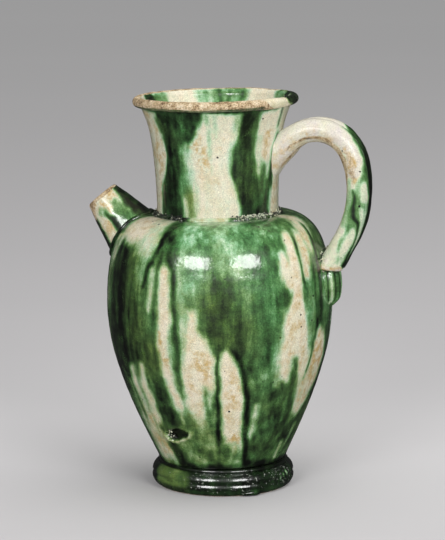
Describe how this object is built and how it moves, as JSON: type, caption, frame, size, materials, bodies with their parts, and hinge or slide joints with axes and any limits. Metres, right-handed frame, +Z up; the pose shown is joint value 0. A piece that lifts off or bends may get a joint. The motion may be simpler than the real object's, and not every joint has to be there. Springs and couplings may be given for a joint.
{
  "type": "glazed earthenware pitcher",
  "caption": "Glazed earthenware pitcher with a full belly on a turned foot, a flared neck with a rolled lip, a short angled spout and a loop handle of paired clay rolls.",
  "frame": {"origin": "centre of the foot's flat underside, on the surface the pitcher stands on", "axes": "+Z up, +X towards the handle, -X towards the spout, -Y towards the viewer's side of the glaze pattern"},
  "size_m": [0.1522, 0.1202, 0.2094],
  "materials": {
    "splashed_green_glaze": "copper-green lead glaze that ran in tongues over a cream ground, glossy, finely crazed and pinholed",
    "cream_glaze": "thin cream lead glaze, satin to glossy, with buff stains and green splashes",
    "bare_buff_clay": "unglazed fired clay, rubbed and soiled, matt and gritty",
    "pooled_dark_glaze": "thick green-black glaze pooled in the joints and on the foot, glossy"
  },
  "bodies": {
    "root": {"belly": "splashed_green_glaze", "neck": "splashed_green_glaze", "rolled_lip": "bare_buff_clay", "spout": "splashed_green_glaze", "handle_strand_front": "cream_glaze", "handle_strand_back": "cream_glaze", "handle_leaf": "splashed_green_glaze", "neck_slip_bead": "pooled_dark_glaze", "spout_slip_bead": "pooled_dark_glaze", "handle_top_slip_bead": "cream_glaze", "handle_root_slip_bead": "cream_glaze", "foot_pad": "pooled_dark_glaze", "foot_slip_bead": "pooled_dark_glaze", "glaze_tear": "pooled_dark_glaze"}
  },
  "joints": []
}
